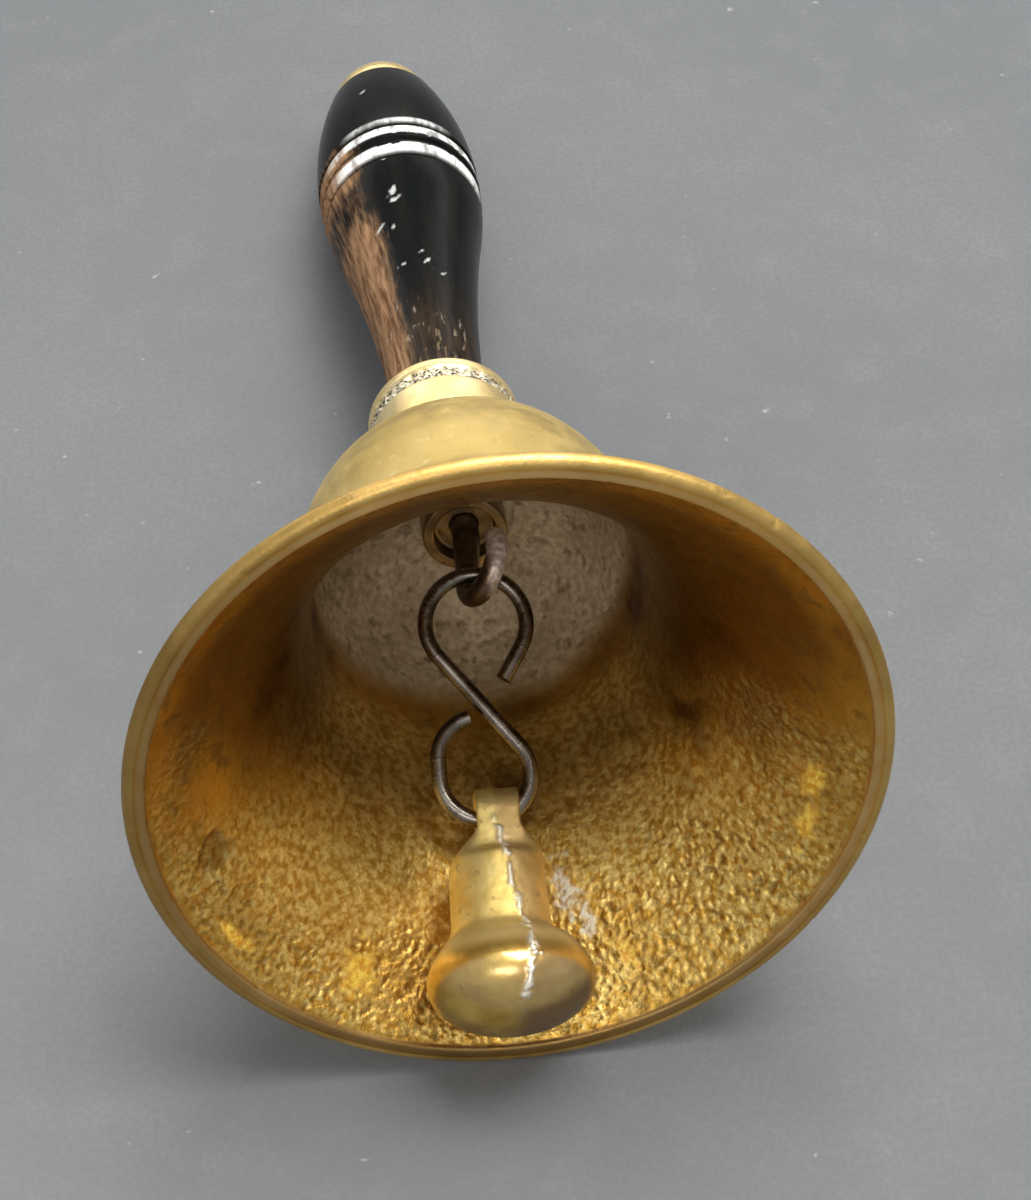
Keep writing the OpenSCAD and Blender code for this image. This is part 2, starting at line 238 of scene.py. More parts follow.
# ---------------------------------------------------------------- materials
class Shader:
    """A small builder for node materials: each call adds a node and returns the socket that it makes."""

    def __init__(self, name, axis=None):
        self.material = bpy.data.materials.new(name)
        self.material.use_nodes = True
        self.tree = self.material.node_tree
        self.surface = self.tree.nodes["Principled BSDF"]
        self.place = self.add("ShaderNodeTexCoord").outputs["Object"]
        if axis is not None:
            mapping = self.add("ShaderNodeMapping")
            mapping.vector_type = "TEXTURE"
            mapping.inputs["Location"].default_value = axis.to_translation()
            mapping.inputs["Rotation"].default_value = axis.to_euler()
            self.link(self.place, mapping.inputs["Vector"])
            self.place = mapping.outputs["Vector"]

    def add(self, kind):
        return self.tree.nodes.new(kind)

    def link(self, source, target):
        self.tree.links.new(source, target)

    def put(self, value, socket):
        if isinstance(value, bpy.types.NodeSocket):
            self.link(value, socket)
        elif isinstance(value, (tuple, list)) and len(value) == 3 and socket.type == "RGBA":
            socket.default_value = (*value, 1)
        else:
            socket.default_value = value

    def attribute(self, name):
        node = self.add("ShaderNodeAttribute")
        node.attribute_name = name
        return node.outputs["Fac"]

    def stretched(self, scale):
        node = self.add("ShaderNodeMapping")
        node.inputs["Scale"].default_value = scale
        self.link(self.place, node.inputs["Vector"])
        return node.outputs["Vector"]

    def noise(self, size, detail=4, rough=0.55, place=None):
        """Noise from 0 to 1 whose features are about size millimetres."""
        node = self.add("ShaderNodeTexNoise")
        self.link(place or self.place, node.inputs["Vector"])
        node.inputs["Scale"].default_value = 1 / (size * MM)
        node.inputs["Detail"].default_value = detail
        node.inputs["Roughness"].default_value = rough
        return node.outputs["Fac"]

    def ramp(self, value, low, high, start=0.0, end=1.0):
        """The value stretched so that low gives start and high gives end."""
        node = self.add("ShaderNodeMapRange")
        node.interpolation_type = "SMOOTHSTEP"
        for key, number in (("From Min", low), ("From Max", high), ("To Min", start), ("To Max", end)):
            node.inputs[key].default_value = number
        self.link(value, node.inputs["Value"])
        return node.outputs["Result"]

    def math(self, operation, a, b):
        node = self.add("ShaderNodeMath")
        node.operation = operation
        node.use_clamp = operation in ("ADD", "SUBTRACT", "MULTIPLY")
        self.put(a, node.inputs[0])
        self.put(b, node.inputs[1])
        return node.outputs[0]

    def mix(self, share, a, b):
        node = self.add("ShaderNodeMix")
        node.data_type = "RGBA"
        self.put(share, node.inputs["Factor"])
        self.put(a, node.inputs["A"])
        self.put(b, node.inputs["B"])
        return node.outputs["Result"]

    def blend(self, share, a, b):
        node = self.add("ShaderNodeMix")
        self.put(share, node.inputs["Factor"])
        self.put(a, node.inputs["A"])
        self.put(b, node.inputs["B"])
        return node.outputs["Result"]

    def bump(self, height, depth, strength=1.0, under=None):
        node = self.add("ShaderNodeBump")
        self.put(strength, node.inputs["Strength"])
        node.inputs["Distance"].default_value = depth * MM
        self.link(height, node.inputs["Height"])
        if under is not None:
            self.link(under, node.inputs["Normal"])
        return node.outputs["Normal"]

    def finish(self, color, roughness, metallic, normal=None, specular=0.5):
        self.put(color, self.surface.inputs["Base Color"])
        self.put(roughness, self.surface.inputs["Roughness"])
        self.put(metallic, self.surface.inputs["Metallic"])
        self.surface.inputs["Specular IOR Level"].default_value = specular
        if normal is not None:
            self.link(normal, self.surface.inputs["Normal"])
        return self.material


def bell_material():
    s = Shader("cast_brass", LAY)
    inside, crown, rough, lip = (s.attribute(k) for k in ("inside", "crown", "rough", "lip"))
    edge, painted_gold_glint, painted_pale_glint, dark, ripple = (s.attribute(k) for k in ("edge", "painted_gold_glint", "painted_pale_glint", "dark", "ripple"))
    cloud, fine, grit = s.noise(14), s.noise(3, 6), s.noise(0.45, 3)
    scratch = s.noise(1.2, 2, 0.6, s.stretched((1, 1, 0.12)))
    outer = s.mix(s.ramp(cloud, 0.3, 0.7), (0.68, 0.485, 0.155), (0.83, 0.62, 0.24))
    outer = s.mix(s.ramp(fine, 0.62, 0.75, 0, 0.5), outer, (0.85, 0.72, 0.38))
    outer = s.mix(s.ramp(scratch, 0.62, 0.72, 0, 0.12), outer, (0.45, 0.31, 0.11))
    wall = s.mix(s.ramp(cloud, 0.3, 0.7), (0.38, 0.185, 0.028), (0.68, 0.37, 0.055))
    wall = s.mix(s.ramp(fine, 0.5, 0.7, 0, 0.7), wall, (0.20, 0.105, 0.025))
    gold = s.mix(s.ramp(s.noise(1.1, 5), 0.35, 0.65), (0.58, 0.30, 0.035), (1.0, 0.74, 0.24))
    gold = s.mix(s.ramp(cloud, 0.42, 0.70, 0, 0.55), gold, (0.50, 0.27, 0.045))
    wall = s.mix(s.math("MULTIPLY", rough, 0.9), wall, gold)
    bowl = s.mix(s.ramp(s.noise(1.1, 4), 0.35, 0.65), (0.42, 0.315, 0.18), (0.62, 0.49, 0.32))
    bowl = s.mix(s.ramp(cloud, 0.35, 0.65, 0, 0.5), bowl, (0.30, 0.21, 0.11))
    wall = s.mix(crown, wall, bowl)
    # Painted light: pale and gold glints painted on the inside wall, nearly diffuse so that they stay bright.
    wall = s.mix(painted_pale_glint, wall, (1.0, 0.95, 0.78))
    painted_glint_gold = s.mix(s.ramp(s.noise(0.9, 4), 0.38, 0.6), (0.74, 0.33, 0.015), (1.0, 0.68, 0.09))
    wall = s.mix(painted_gold_glint, wall, painted_glint_gold)
    face = s.mix(s.ramp(cloud, 0.35, 0.65), (0.52, 0.245, 0.035), (0.76, 0.41, 0.085))
    face = s.mix(edge, face, (0.78, 0.53, 0.22))
    color = s.mix(lip, s.mix(inside, outer, wall), face)
    # dark mixes painted shade (upper inside wall, dent, lip's low side, rim's sides) with darker soil streaks,
    # crown pits and ripple troughs.
    color = s.mix(dark, color, (0.13, 0.062, 0.014))
    roughness = s.blend(inside, s.ramp(fine, 0.3, 0.7, 0.40, 0.54), s.ramp(fine, 0.3, 0.7, 0.30, 0.46))
    roughness = s.blend(crown, roughness, 0.62)
    bright = s.math("MAXIMUM", painted_pale_glint, painted_gold_glint)
    roughness = s.blend(bright, roughness, 0.32)
    metal = s.blend(crown, s.blend(rough, 1.0, 0.9), 0.3)
    metal = s.blend(bright, metal, 0.06)
    dents = s.bump(s.noise(0.7, 3, 0.6), 0.20, s.blend(ripple, 0.2, 0.85), s.bump(grit, 0.06, 0.6))
    normal = s.bump(scratch, 0.02, 0.5, dents)
    return s.finish(color, roughness, metal, normal)


def fitting_material():
    s = Shader("rubbed_brass", LAY)
    groove = s.attribute("groove")
    cloud, fine, grit = s.noise(6), s.noise(1.5, 5), s.noise(0.5, 3)
    color = s.mix(s.ramp(cloud, 0.3, 0.7), (0.93, 0.67, 0.27), (0.98, 0.79, 0.40))
    color = s.mix(s.ramp(fine, 0.62, 0.80, 0, 0.35), color, (0.66, 0.42, 0.15))
    # The beaded groove is speckled near black and pale by fine noise.
    groove_speckle = s.mix(s.ramp(grit, 0.40, 0.53), (0.035, 0.025, 0.015), (0.95, 0.86, 0.64))
    color = s.mix(groove, color, groove_speckle)
    roughness = s.blend(groove, s.ramp(fine, 0.3, 0.7, 0.26, 0.4), 0.5)
    return s.finish(color, roughness, 0.88, s.bump(grit, 0.03, 0.5))


def clapper_material():
    s = Shader("clapper_brass")
    flash, far, head = (s.attribute(k) for k in ("flash", "far", "head"))
    crease, gloss, painted_shade_patch = (s.attribute(k) for k in ("crease", "gloss", "painted_shade_patch"))
    cloud, fine, grit = s.noise(5), s.noise(1.4, 5), s.noise(0.4, 3)
    # Painted shade: on the +X side of the parting line (far) stem and head take darker, shaded copies of the
    # brass colours.
    lit_half = s.mix(s.ramp(cloud, 0.3, 0.7), (0.80, 0.58, 0.17), (0.96, 0.76, 0.30))
    painted_shade_half = s.mix(s.ramp(cloud, 0.3, 0.7), (0.62, 0.42, 0.15), (0.84, 0.59, 0.25))
    ball = s.mix(s.ramp(cloud, 0.3, 0.7), (0.56, 0.33, 0.055), (0.84, 0.56, 0.13))
    color = s.mix(far, s.mix(head, lit_half, ball), s.mix(head, painted_shade_half, (0.50, 0.32, 0.15)))
    color = s.mix(s.ramp(fine, 0.6, 0.72, 0, 0.5), color, (0.24, 0.14, 0.05))
    # Painted light: the crease between stem and head is coloured pale and matte, covering the dark reflection
    # it would show.
    color = s.mix(crease, color, (0.66, 0.47, 0.18))
    # Painted shade: a dark patch on the lower +X side of the head.
    color = s.mix(painted_shade_patch, color, (0.20, 0.12, 0.065))
    color = s.mix(s.math("MULTIPLY", flash, s.ramp(grit, 0.25, 0.5)), color, (1.0, 0.95, 0.78))
    roughness = s.blend(head, s.ramp(fine, 0.3, 0.7, 0.48, 0.60), s.ramp(fine, 0.3, 0.7, 0.30, 0.40))
    roughness = s.blend(crease, roughness, 0.6)
    metal = s.blend(crease, s.blend(head, 0.8, 0.92), 0.3)
    metal = s.blend(flash, metal, 0.5)
    s.put(gloss, s.surface.inputs["Coat Weight"])
    s.surface.inputs["Coat Roughness"].default_value = 0.19
    s.surface.inputs["Coat IOR"].default_value = 2.0
    return s.finish(color, roughness, metal, s.bump(grit, 0.04, 0.5))


def dark_metal_material(name, low, high, roughness, axis=None):
    s = Shader(name, axis)
    cloud, fine, grit = s.noise(4), s.noise(1, 5), s.noise(0.3, 3)
    color = s.mix(s.ramp(cloud, 0.3, 0.7), low, high)
    color = s.mix(s.ramp(fine, 0.6, 0.75, 0, 0.7), color, tuple(v * 0.4 for v in low))
    uneven = s.ramp(fine, 0.3, 0.7, roughness - 0.08, roughness + 0.1)
    return s.finish(color, uneven, 1.0, s.bump(grit, 0.03, 0.5))


def wood_material():
    s = Shader("ebonised_wood", LAY)
    worn, groove, nick, painted_highlight, neck = (s.attribute(k) for k in ("worn", "groove", "nick", "painted_highlight", "neck"))
    grain_place = s.stretched((1, 1, 0.09))
    grain, streak = s.noise(0.9, 5, 0.6, grain_place), s.noise(3.2, 3, 0.5, grain_place)
    fine = s.noise(0.5, 3)
    black = s.mix(s.ramp(streak, 0.35, 0.7), (0.0055, 0.0064, 0.0068), (0.011, 0.0105, 0.0085))
    browned = s.mix(s.ramp(grain, 0.35, 0.65), (0.014, 0.0085, 0.006), (0.042, 0.026, 0.014))
    black = s.mix(neck, black, browned)
    brown = s.mix(s.ramp(grain, 0.3, 0.7), (0.13, 0.060, 0.027), (0.40, 0.235, 0.125))
    share = s.ramp(s.math("ADD", worn, s.ramp(grain, 0.2, 0.8, -0.18, 0.18)), 0.2, 1.0)
    color = s.mix(share, black, brown)
    color = s.mix(groove, color, (0.008, 0.007, 0.006))
    # Painted highlight: the bead lands are coloured near white where light glints on them.
    color = s.mix(s.math("MULTIPLY", painted_highlight, s.ramp(fine, 0.3, 0.5, 0.75, 1)), color, (0.90, 0.89, 0.86))
    # Nicks: pale grey on the belly is a painted glint on the chips; brown on the neck is bare wood.
    color = s.mix(nick, color, s.mix(neck, (0.50, 0.50, 0.47), (0.34, 0.245, 0.145)))
    roughness = s.blend(share, s.ramp(fine, 0.3, 0.7, 0.16, 0.25), 0.5)
    return s.finish(color, roughness, 0.0, s.bump(grain, 0.04, 0.4), specular=0.028)


def floor_material():
    s = Shader("grey_floor")
    cloud, grit, speck = s.noise(90, 3), s.noise(0.9, 4), s.noise(3.5, 2)
    color = s.mix(s.ramp(cloud, 0.3, 0.7), (0.150, 0.157, 0.163), (0.175, 0.180, 0.186))
    color = s.mix(s.ramp(s.noise(9, 4), 0.45, 0.75, 0, 0.5), color, (0.195, 0.200, 0.205))
    color = s.mix(s.ramp(grit, 0.35, 0.65, 0, 0.5), color, (0.130, 0.136, 0.142))
    # Painted light: the floor paler towards the front left, as a pool of light.
    color = s.mix(s.attribute("pale"), color, (0.30, 0.302, 0.304))
    color = s.mix(s.ramp(speck, 0.72, 0.79, 0, 0.6), color, (0.42, 0.42, 0.42))
    return s.finish(color, 0.75, 0.0, s.bump(grit, 0.12, 0.35))


# ---------------------------------------------------------------- bell
# Points round the bell, and the distance in millimetres between its rings inside and outside
BELL_SEGMENTS, INSIDE_GAP, OUTSIDE_GAP = 900, 0.30, 0.6
BELL = dict(mouth_r=50.0, crown=71.2, lip_w=3.0, waist_r=26.8, waist=37.0, wall=2.8, bead=1.2, boss_r=7.6,
            boss=61.3)
# The lip and the bead round it lie outside this radius
LIP_FROM = 46
# Marks on the wall: angle about the axis in degrees (0 is +X, 90 the table side), height, half height and half
# width. The gold marks are painted gold glints of light and the pale ones painted pale glints; the dent is
# real and also painted dark as shade.
PAINTED_GOLD_GLINTS = [(121, 6.2, 2.6, 2.8), (21.5, 5.0, 1.3, 2.9), (12.5, 5.9, 1.6, 2.6), (67.5, 7.3, 1.9, 1.6),
          (149, 3.0, 0.7, 4.0)]
PAINTED_PALE_GLINTS = [(76, 15.3, 2.8, 1.6), (73, 11.5, 1.7, 1.1)]
DENT = [(163, 6.7, 2.4, 3.2)]


def marks(points, radius, height, places, size, seed):
    """From 0 to 1, how much each point lies in one of the places, whose edges are ragged."""
    turn = np.degrees(np.arctan2(points[:, 1], points[:, 0]))
    ragged = 1 + 0.95 * layered_noise(points, size, seed)
    share = np.zeros(len(height))
    for angle, place, tall, wide in places:
        across = np.radians((turn - angle + 180) % 360 - 180) * radius / wide
        share = np.maximum(share, 1 - step(0.45, 1.15, np.hypot(across, (height - place) / tall) * ragged))
    return share


def bell_relief(sections):
    """Cast skin: pits in the crown, worm-like ripples on the low side, a smooth turned lip. sections says for
    each ring whether it is inside and whether it belongs to the lip's face."""
    inner = sections["inside"]

    def relief(points, radius, height, index):
        inside = inner[index]
        down = points[:, 1] / (radius + 1e-9)
        crown = inside * step(43, 51, height + 2 * layered_noise(points, 9, 5))
        patch = layered_noise(points, 11, 11)
        low_side = step(-0.35, 0.5, down + 0.5 * patch)
        rough = inside * low_side * step(0.4, 1.3, height) * (1 - step(38, 46, height))
        warp = np.stack([lattice_noise(points, 0.9, 21 + i) for i in range(3)], axis=1)
        worms = np.abs(lattice_noise(points + 0.6 * warp, 0.78, 31))
        pits = np.clip(-layered_noise(points, 1.2, 41) - 0.16, 0, 1)
        swell = layered_noise(points, 7, 51)
        # Painted gold and pale glints of light on the inside wall.
        painted_gold_glint = inside * marks(points, radius, height, PAINTED_GOLD_GLINTS, 1.3, 111)
        painted_pale_glint = inside * marks(points, radius, height, PAINTED_PALE_GLINTS, 1.2, 121)
        # The dent is a real hollow that is also painted dark as shade.
        dent = inside * marks(points, radius, height, DENT, 2.5, 131)
        to_left = step(0.1, 0.7, -points[:, 0] / 45)
        calm = step(8, 24, height + 7 * lattice_noise(points, 12, 161) + 6 * to_left)
        depth = (0.38 + 0.26 * patch + 0.12 * lattice_noise(points, 3.5, 151)) * (1 - 0.82 * calm)
        depth = np.clip(depth, 0.06, 0.55)
        flatter = (1 - 0.6 * np.maximum(painted_pale_glint, 0.7 * painted_gold_glint)) * (1 - 0.3 * step(6, 20, height))
        moved = rough * flatter * (depth * (0.3 - worms) + 0.05 * swell)
        moved += crown * (0.20 * layered_noise(points, 2.2, 61) - 0.60 * pits)
        moved += inside * step(2, 8, height) * 0.10 * swell - 0.4 * dent
        outside = (1 - inside) * step(3, 8, height)
        moved += outside * 0.03 * layered_noise(points, 16, 71)
        nicks = np.clip(lattice_noise(points, 1.7, 81) - 0.72, 0, 1)
        moved -= step(0, 0.5, 2.9 - height) * (radius > LIP_FROM) * 0.9 * nicks
        lip = sections["lip"][index]
        edge = lip * (1 - step(48.0, 48.5, radius)) * (0.7 + 0.3 * lattice_noise(points, 2.5, 91))
        # Painted shade: the inside wall away from the table side is darkened (high), above the lip and outside
        # the crown.
        upper = 0.55 * step(6, 22, height)
        high = step(-0.55, 0.35, upper - 0.1 - down + 0.35 * patch)
        high = inside * high * step(1.5, 6, height) * (1 - crown)
        soil = step(0.15, 0.6, layered_noise(points * [1, 1, 0.6], 8, 141)) * inside * (1 - crown)
        dark = np.clip(0.7 * high + 0.6 * soil * step(14, 26, height) + 0.5 * dent, 0, 1)
        dark = np.maximum(dark, 0.55 * crown * step(0.04, 0.40, pits))
        dark = np.maximum(dark, 1.1 * depth * rough * step(0.34, 0.62, worms))
        # Painted shade: the lip's face darker towards the table side.
        dark = np.maximum(dark, 0.6 * lip * step(0.35, 0.95, down))
        aside = points[:, 0] / (radius + 1e-9)
        bead = (1 - inside) * (1 - step(1.6, 3.2, height)) * (radius > LIP_FROM)
        rim = np.maximum(lip, bead)
        # Painted shade: the rim darker on both sides, more on the left.
        dark = np.maximum(dark, rim * (0.50 * step(0.3, 0.95, -aside) + 0.22 * step(0.3, 0.95, aside)))
        sparkle = 1 - step(0.16, 0.36, worms)
        lip = np.maximum(lip, 0.4 * bead)
        return moved, {"inside": inside, "crown": crown, "rough": rough, "lip": lip, "edge": edge,
                       "painted_gold_glint": painted_gold_glint * (0.8 + 0.2 * sparkle), "painted_pale_glint": painted_pale_glint * (0.3 + 0.7 * sparkle),
                       "dark": dark * (1 - 0.85 * painted_gold_glint), "ripple": rough * np.clip(depth / 0.4, 0, 1)}

    return relief


def make_bell():
    b = BELL
    bead_mid = b["mouth_r"] - b["bead"]
    lip_in = b["mouth_r"] - b["lip_w"]
    waist_out = (b["waist"], b["waist_r"])
    waist_in = (b["waist"], b["waist_r"] - b["wall"])
    # The curves are written as (height, radius), and flip turns that round
    flip = [1, 0]
    shoulder = bezier([waist_out, (49, 25.4), (60.5, 25.2), (b["crown"], 11.9)])[::-1, flip]
    flare = bezier([(2 * b["bead"], bead_mid + 0.6), (9.6, 42.4), (21.5, 30), waist_out])[::-1, flip]
    bead = arc((bead_mid, b["bead"]), b["bead"], 30, -90, 13)
    hollow = bezier([(0.5, lip_in), (8, 39.8), (20, 27.1), waist_in])[:, flip]
    bowl = bezier([waist_in, (47, 22.9), (62.5, 22.6), (64, b["boss_r"])])[:, flip]
    rod_r = 2.05
    parts = [
        ("top", spaced(np.array([(rod_r, b["crown"]), (11.9, b["crown"])]), 2)),
        ("out", even(np.concatenate([shoulder, flare[1:]]), OUTSIDE_GAP)),
        ("out", bead),
        ("lip", spaced(np.array([bead[-1], (lip_in + 0.5, 0)]), 0.3)),
        ("round", arc((lip_in + 0.5, 0.5), 0.5, -90, -180, 5)),
        ("in", even(np.concatenate([hollow, bowl[1:]]), INSIDE_GAP)),
        ("in", spaced(np.array([(b["boss_r"], b["boss"]), (rod_r, b["boss"])]), 0.7)),
        ("hole", spaced(np.array([(rod_r, b["boss"]), (rod_r, b["crown"])]), 3)[1:-1]),
    ]
    outline = np.concatenate([points for _, points in parts])
    label = np.concatenate([[name] * len(points) for name, points in parts])
    sections = {"inside": np.isin(label, ["in", "hole"]).astype(float),
                "lip": np.isin(label, ["lip", "round"]).astype(float)}
    keep = np.concatenate([[True], np.linalg.norm(np.diff(outline, axis=0), axis=1) > 1e-6])
    sections = {key: value[keep][::-1] for key, value in sections.items()}
    piece = lathe("bell_casting", "bell_shell", outline[keep][::-1], BELL_SEGMENTS, bell_relief(sections))
    return dress(piece, bell_material(), "bell", "bell_brass", "bell_shell")


def dress(piece, material, body, slot, *replaced):
    piece.data.materials.append(material)
    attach(piece, body)
    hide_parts(*replaced)
    return piece


# ---------------------------------------------------------------- collar, ferrule and finial
def make_collar():
    outline = np.concatenate([
        arc((5.8, 57.3), 0.4, 0, -90, 6), arc((4.85, 57.2), 0.3, -90, -180, 5),
        np.array([(4.45, 59.1), (4.1, 59.3), (2.0, 59.3), (2.0, 61.3), (6.2, 61.3)])])

    def relief(points, radius, height, index):
        in_cup = step(0.2, 0.8, (59.4 - height) * (radius < 4.6))
        return 0.08 * layered_noise(points, 1.6, 7), {"groove": in_cup}

    piece = lathe("collar_cup", "cup_collar", spaced(outline, 0.3)[::-1], 160, relief)
    material = dark_metal_material("tarnished_brass", (0.20, 0.13, 0.06), (0.42, 0.30, 0.15), 0.36, LAY)
    return dress(piece, material, "bell", "collar_brass", "cup_collar")


def make_ferrule(material):
    r, low, top = 11.6, 71.2, 87.7
    lip, band = top - 2.7, top - 5.3
    outline = np.concatenate([
        np.array([(8.5, low), (r - 0.3, low), (r, low + 0.4), (r, band - 0.5), (r - 0.12, band - 0.15),
                  (r - 0.45, band), (r - 0.45, lip), (r - 0.12, lip + 0.15), (r, lip + 0.5)]),
        arc((r - 0.9, top - 0.9), 0.9, 0, 90, 9), np.array([(8.5, top)])])

    def relief(points, radius, height, index):
        groove = step(band - 0.25, band + 0.1, height) * (1 - step(lip - 0.1, lip + 0.25, height))
        groove = groove * (radius > 10)
        turn = np.arctan2(points[:, 1], points[:, 0])
        beads = np.cos(turn * 30 + 3.5 * lattice_noise(points, 4, 3))
        crumbs = layered_noise(points, 1.1, 13)
        worn = 0.03 * layered_noise(points, 4, 17)
        return groove * (0.10 * beads + 0.34 * crumbs) + worn, {"groove": groove}

    piece = lathe("ferrule_ring", "ferrule", spaced(outline, 0.25), 420, relief)
    return dress(piece, material, "bell", "fitting_brass", "ferrule")


def make_finial(material):
    base, edge, rise, r = HANDLE["end"], 2.0, 9.0, 9.0
    dome_r = (r * r + rise * rise) / (2 * rise)
    tip = base + edge + rise
    dome_from = math.degrees(math.asin((edge + base - tip + dome_r) / dome_r))
    dome = arc((0, tip - dome_r), dome_r, dome_from, 90, 40)
    sleeve_r, sleeve_end, corner = 4.5, 184.2, 0.25
    outline = np.concatenate([
        np.array([(0.4, sleeve_end), (sleeve_r, sleeve_end), (sleeve_r, base), (r - corner, base),
                  (r, base + corner)]),
        dome])
    outline[-1, 0] = 0.02

    def relief(points, radius, height, index):
        return -0.05 * np.abs(layered_noise(points, 2.5, 19)), {"groove": 0 * height}

    piece = lathe("finial_dome", "finial_nut", spaced(outline, 0.35), 240, relief, closed=False)
    return dress(piece, material, "bell", "fitting_brass", "finial_nut")


# ---------------------------------------------------------------- handle
HANDLE = dict(belly_r=14.0, neck_r=7.2, belly=162.2, neck=85.2, end=192.2, arc=110.0, pitch=5.0, groove=0.55)
# Chips in the lacquer, their pale grey a painted glint: angle from the top towards +X in degrees, height, half
# length, half width, slant
CHIPS = [(-20, 178, 1.0, 0.32, 40), (-12, 141, 1.0, 0.6, 15), (-11, 139, 0.9, 0.3, 60),
         (-30, 133, 0.9, 0.35, 50), (-18, 132, 0.4, 0.3, 0), (-13, 150.5, 0.6, 0.35, 0),
         (-16, 121.5, 0.5, 0.18, 80), (8, 121.5, 1.1, 0.22, 45), (24, 118.5, 0.7, 0.22, 50),
         (3, 124, 0.5, 0.18, 60)]


def handle_radius(height):
    h = HANDLE
    rise, drop = h["belly"] - h["neck"], h["belly_r"] - h["neck_r"]
    neck_arc = (rise * rise / drop + drop) / 2 - h["arc"]
    join = h["belly"] - rise * h["arc"] / (h["arc"] + neck_arc)
    belly = h["belly_r"] - h["arc"] + np.sqrt(np.maximum(h["arc"] ** 2 - (height - h["belly"]) ** 2, 0))
    neck = h["neck_r"] + neck_arc - np.sqrt(np.maximum(neck_arc ** 2 - (height - h["neck"]) ** 2, 0))
    return np.where(height > join, belly, neck)


def handle_relief(points, radius, height, index):
    h = HANDLE
    side = points[:, 0] / (radius + 1e-9)
    turn = np.degrees(np.arctan2(points[:, 0], -points[:, 1]))
    outer = (radius > 8.6) | (height > 88.5)
    moved = 0.03 * layered_noise(points * [1, 1, 0.2], 5, 23)
    groove = np.zeros(len(height))
    land = np.zeros(len(height))
    top = h["belly"] - 0.9
    for row in range(3):
        off = np.abs(height - (top - row * h["pitch"]))
        cut = 1 - step(0.25, h["groove"] + 0.35, off)
        groove = np.maximum(groove, cut)
        moved -= 0.95 * cut * outer
    for row in range(2):
        off = height - (top - (row + 0.5) * h["pitch"])
        on = 1 - step(1.6, 2.2, np.abs(off))
        lean = 0.5 - row
        land = np.maximum(land, (0.9 + 0.1 * row) * (1 - step(1.05, 1.5, np.abs(off - lean))))
        moved -= on * 0.10 * (off / 1.7) ** 2
    from_beads = np.abs(height - top + h["pitch"])
    chipped = np.clip(layered_noise(points, 1.1, 29) - 0.22, 0, 1) * (1 - step(1.5, 4.5, from_beads))
    moved -= chipped * 0.9
    pits = np.clip(layered_noise(points * [1, 1, 0.22], 0.52, 37) - 0.34, 0, 1)
    near_neck = (1 - step(101, 116, height)) * step(88.5, 91, height)
    moved -= 0.8 * pits * (0.15 + near_neck)
    left = step(0.28, 0.85, -side + 0.22 * layered_noise(points * [1, 1, 0.25], 6, 43))
    less_worn = step(132, 142, height) * (1 - step(146, 150, height))
    worn = left * (1 - 0.55 * less_worn) * (1 - step(159, 165, height))
    worn = np.maximum(worn, 0.35 * (1 - step(90, 100, height + 5 * layered_noise(points, 4, 47))))
    dash = 4.5 * pits * near_neck * step(-75, -50, turn) * (1 - step(30, 60, turn))
    # Painted highlight on the bead lands and a thin band above the top groove, over the angles that face the
    # light.
    facing = step(-68, -42, turn + 10 * layered_noise(points, 5, 59)) * (1 - step(62, 88, turn))
    streaks = 0.35 + 0.65 * step(-0.5, 0.0, layered_noise(points * [1, 1, 0.3], 1.1, 67))
    above = step(0.55, 0.85, height - top) * (1 - step(1.7, 2.3, height - top))
    above = above * (1 - step(25, 45, np.abs(turn)))
    painted_highlight = np.clip(np.maximum(land, 0.75 * above) * facing * streaks, 0, 1)
    nick = np.zeros(len(height))
    for angle, place, length, width, slant in CHIPS:
        across = np.radians((turn - angle + 180) % 360 - 180) * radius
        up = height - place
        c, s = math.cos(math.radians(slant)), math.sin(math.radians(slant))
        u, v = up * c + across * s, across * c - up * s
        ragged = 1 + 0.7 * lattice_noise(points, 0.7, 53)
        nick = np.maximum(nick, 1 - step(0.6, 1.1, np.hypot(u / length, v / width) * ragged))
    nick = np.maximum(nick, np.clip(dash, 0, 0.55))
    neck = 1 - step(96, 122, height + 6 * layered_noise(points * [1, 1, 0.3], 4, 73))
    moved -= 0.12 * nick
    return np.where(outer, moved, 0), {"worn": np.clip(worn, 0, 1), "groove": groove * outer, "nick": nick,
                                      "painted_highlight": painted_highlight, "neck": neck}


def make_handle():
    h = HANDLE
    # Rings lie closest where the grooves and beads are
    beads_from, beads_to, corner = 149, 165, 1.2
    round_from = h["end"] - corner
    heights = np.concatenate([np.arange(92.7, beads_from, 0.45), np.arange(beads_from, beads_to, 0.14),
                              np.arange(beads_to, round_from, 0.4)])
    round_r = float(handle_radius(np.array([round_from]))[0])
    outline = np.concatenate([
        np.array([(2.4, 77.2), (8.45, 77.2), (8.45, 87.7), (9.4, 87.75), (9.05, 89.1)]),
        np.stack([handle_radius(heights) + 0.25 * np.exp(-(heights - 91.1) / 2), heights], axis=1),
        arc((round_r - corner, round_from), corner, 12, 90, 9),
        np.array([(4.6, h["end"]), (4.6, 184.0), (2.4, 184.0)])])
    outline = outline[np.concatenate([[True], np.linalg.norm(np.diff(outline, axis=0), axis=1) > 1e-4])]
    piece = lathe("handle_turning", "handle_grip", spaced(outline, 0.9), 300, handle_relief)
    return dress(piece, wood_material(), "bell", "ebonised_wood", "handle_grip")


# ---------------------------------------------------------------- rod, hook and clapper
# How the clapper hangs at rest: its slope below level, and its lean to the side
CLAPPER_SLOPE, CHAIN_LEAN = math.radians(17.4), math.radians(2)
# The moulds' parting line on the clapper: distance along it from the hole, and how far it strays to +X
FLASH_ALONG = (-40, -30, -26, -23, -17, -12, -8, -1, 4)
FLASH_ASIDE = (0.0, 0.2, 1.6, 2.8, 2.1, 1.2, 0.6, -0.5, -0.6)


